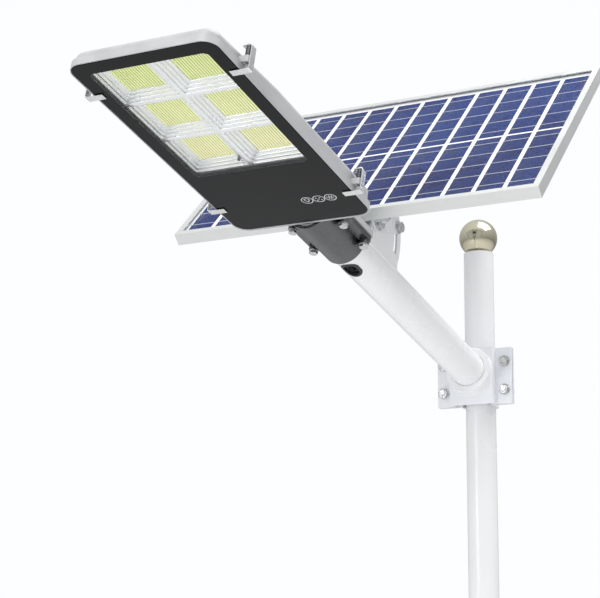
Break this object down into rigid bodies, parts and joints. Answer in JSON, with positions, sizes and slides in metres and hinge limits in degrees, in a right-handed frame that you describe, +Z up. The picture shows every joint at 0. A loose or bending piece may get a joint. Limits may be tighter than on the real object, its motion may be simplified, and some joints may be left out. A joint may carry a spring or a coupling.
{
  "type": "solar street lamp",
  "caption": "Solar street lamp: clamped sloping arm with a flat glazed lamp head and a tilting framed solar panel on the ball-topped upper section of a pole.",
  "frame": {"origin": "centre of the pole section's lower end, on the pole's axis", "axes": "+Z up along the pole, -Y towards the lamp head, X across, along the solar panel's long side"},
  "size_m": [0.53, 0.9743, 1.1963],
  "materials": {
    "pole_paint": "smooth gloss white powder coat",
    "arm_paint": "smooth gloss white powder coat",
    "clamp_paint": "white powder coat on pressed plate",
    "zinc": "bright zinc-plated steel",
    "ball_steel": "polished champagne-tinted stainless steel",
    "housing_paint": "light grey powder coat on die casting",
    "cast_metal": "bare satin cast aluminium",
    "cover_glass": "tempered glass with a black printed border and a clear window",
    "gasket_rubber": "matt silicone",
    "reflector_metal": "metallised plastic reflector",
    "led_board": "white boards with rows of yellow chips",
    "dark_plastic": "black moulded plastic",
    "battery_wrap": "shrink sleeve",
    "circuit_green": "solder resist",
    "clip_steel": "pressed stainless strip",
    "panel_glass": "low-iron tempered glass",
    "cell_blue": "polycrystalline silicon, blue",
    "backsheet_white": "white laminated film",
    "frame_aluminium": "satin anodised extrusion",
    "cord_fibre": "thin twisted cord"
  },
  "bodies": {
    "pole": {"pole_tube": "pole_paint", "pole_top_plug": "dark_plastic", "finial_stud": "zinc", "finial_ball": "ball_steel"},
    "arm": {"clamp_front_plate": "clamp_paint", "clamp_rear_strap": "clamp_paint", "clamp_chocks": "clamp_paint", "clamp_bolts": "zinc", "clamp_nuts": "zinc", "clamp_washers": "zinc", "arm_tube": "arm_paint", "arm_collar": "arm_paint", "cable_grommet": "arm_paint", "bracket_plate_left": "clamp_paint", "bracket_plate_right": "clamp_paint", "pivot_bolt": "zinc", "pivot_nut": "zinc", "pivot_washers": "zinc", "pivot_spacer": "zinc"},
    "panel": {"panel_hanger_left": "clamp_paint", "panel_hanger_right": "clamp_paint", "lock_bolt": "zinc", "lock_nut": "zinc", "lock_washers": "zinc", "frame_rail_lower": "frame_aluminium", "frame_rail_upper": "frame_aluminium", "frame_rail_left": "frame_aluminium", "frame_rail_right": "frame_aluminium", "frame_corner_keys": "zinc", "panel_glass": "panel_glass", "panel_backsheet": "backsheet_white", "solar_cells": "cell_blue", "back_bar_left": "frame_aluminium", "back_bar_right": "frame_aluminium", "bar_bolts": "zinc", "bar_nuts": "zinc", "junction_box": "dark_plastic", "junction_lid": "dark_plastic", "junction_gland": "dark_plastic", "tie_cord": "cord_fibre", "tie_knot": "cord_fibre"},
    "head": {"lamp_housing": "housing_paint", "neck_saddle": "cast_metal", "saddle_bolts": "zinc", "saddle_washers": "zinc", "glass_cover": "cover_glass", "glass_gasket": "gasket_rubber", "reflector": "reflector_metal", "led_boards": "led_board", "light_sensor": "dark_plastic", "battery_cells": "battery_wrap", "battery_cradle": "dark_plastic", "controller_board": "circuit_green", "controller_parts": "dark_plastic", "clip_screws": "zinc", "clip_springs": "zinc"},
    "clip_rl": {"clip_rear_left": "clip_steel"},
    "clip_rr": {"clip_rear_right": "clip_steel"},
    "clip_fl": {"clip_front_left": "clip_steel"},
    "clip_fr": {"clip_front_right": "clip_steel"}
  },
  "joints": [
    {"name": "arm_swivel", "type": "hinge", "parent": "pole", "child": "arm", "pos_m": [0, 0, 0.804], "axis": [0, 0, 1], "continuous": true},
    {"name": "panel_tilt", "type": "hinge", "parent": "arm", "child": "panel", "pos_m": [0, -0.40701, 0.94704], "axis": [1, 0, 0], "range_deg": [-28, 10]},
    {"name": "head_roll", "type": "hinge", "parent": "arm", "child": "head", "pos_m": [0, -0.49404, 0.9237], "axis": [0, -0.9703, 0.2419], "range_deg": [-20, 20]},
    {"name": "clip_rl_swing", "type": "hinge", "parent": "head", "child": "clip_rl", "pos_m": [-0.1002, -0.61047, 0.95273], "axis": [0, 0.2419, 0.9703], "range_deg": [-90, 0]},
    {"name": "clip_rr_swing", "type": "hinge", "parent": "head", "child": "clip_rr", "pos_m": [0.1002, -0.61047, 0.95273], "axis": [0, 0.2419, 0.9703], "range_deg": [0, 90]},
    {"name": "clip_fl_swing", "type": "hinge", "parent": "head", "child": "clip_fl", "pos_m": [-0.1002, -0.87731, 1.01926], "axis": [0, 0.2419, 0.9703], "range_deg": [-90, 0]},
    {"name": "clip_fr_swing", "type": "hinge", "parent": "head", "child": "clip_fr", "pos_m": [0.1002, -0.87731, 1.01926], "axis": [0, 0.2419, 0.9703], "range_deg": [0, 90]}
  ]
}
